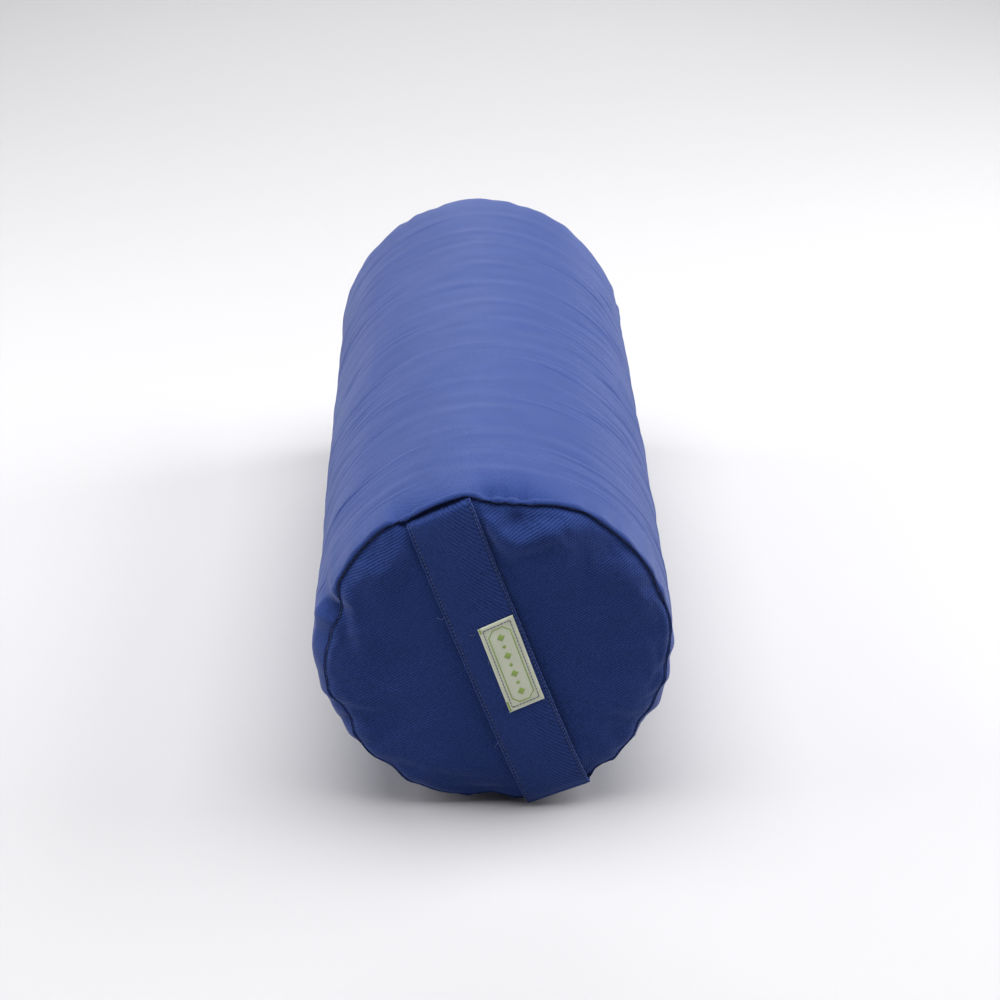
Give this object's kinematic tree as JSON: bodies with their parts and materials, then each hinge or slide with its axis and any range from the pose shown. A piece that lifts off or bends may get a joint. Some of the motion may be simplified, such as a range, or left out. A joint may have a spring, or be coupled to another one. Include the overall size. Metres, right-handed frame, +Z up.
{
  "type": "bolster pillow",
  "caption": "Round firm bolster pillow with a zipped twill cover, a flat carry handle across one end and a rolled cotton filling.",
  "frame": {"origin": "centre of the underside: the middle of the whole outline in X and Y, at the flat that the bolster rests on", "axes": "+Y along the roll, away from the carry handle; +Z up; +X to the right of someone facing the handle end"},
  "size_m": [0.2578, 0.679, 0.252],
  "materials": {
    "cover_twill": "matte cotton twill",
    "end_panel_twill": "matte cotton twill",
    "handle_twill": "matte cotton twill, folded and topstitched",
    "sewing_thread": "spun polyester thread",
    "label_cloth": "woven damask label",
    "label_thread": "spun polyester thread",
    "zipper_tape": "woven polyester tape",
    "zipper_coil": "satin nylon",
    "zipper_metal": "tumbled nickel",
    "liner_cotton": "unbleached muslin",
    "cotton_batting": "matted cotton fibre"
  },
  "bodies": {
    "root": {"cover_side_panel": "cover_twill", "cover_front_panel": "end_panel_twill", "cover_rear_panel": "end_panel_twill", "seam_thread_front": "sewing_thread", "seam_thread_rear": "sewing_thread", "handle_upper_tail": "handle_twill", "handle_upper_tail_thread_left": "sewing_thread", "handle_upper_tail_thread_right": "sewing_thread", "handle_lower_tail": "handle_twill", "handle_lower_tail_thread_left": "sewing_thread", "handle_lower_tail_thread_right": "sewing_thread", "zipper_tape_upper": "zipper_tape", "zipper_coil_upper": "zipper_coil", "zipper_tape_lower": "zipper_tape", "zipper_coil_lower": "zipper_coil", "zipper_top_stop_upper": "zipper_metal", "zipper_top_stop_lower": "zipper_metal", "zipper_bottom_stop": "zipper_metal", "liner_side_panel": "liner_cotton", "liner_front_panel": "liner_cotton", "liner_rear_panel": "liner_cotton", "batting_roll": "cotton_batting"},
    "handle": {"handle_grip": "handle_twill", "handle_grip_thread_left": "sewing_thread", "handle_grip_thread_right": "sewing_thread", "label": "label_cloth", "label_thread": "label_thread"},
    "slider": {"zipper_slider": "zipper_metal"},
    "pull": {"zipper_pull": "zipper_metal"}
  },
  "joints": [
    {"name": "handle_lift", "type": "slide", "parent": "root", "child": "handle", "axis": [0, -1, 0], "range_m": [0, 0.02]},
    {"name": "zipper_slide", "type": "slide", "parent": "root", "child": "slider", "axis": [0, 1, 0], "range_m": [0, 0.476]},
    {"name": "zipper_pull_swing", "type": "hinge", "parent": "slider", "child": "pull", "pos_m": [0.10972, -0.23296, 0.05271], "axis": [0.5613, 0, 0.8276], "range_deg": [0, 175]}
  ]
}
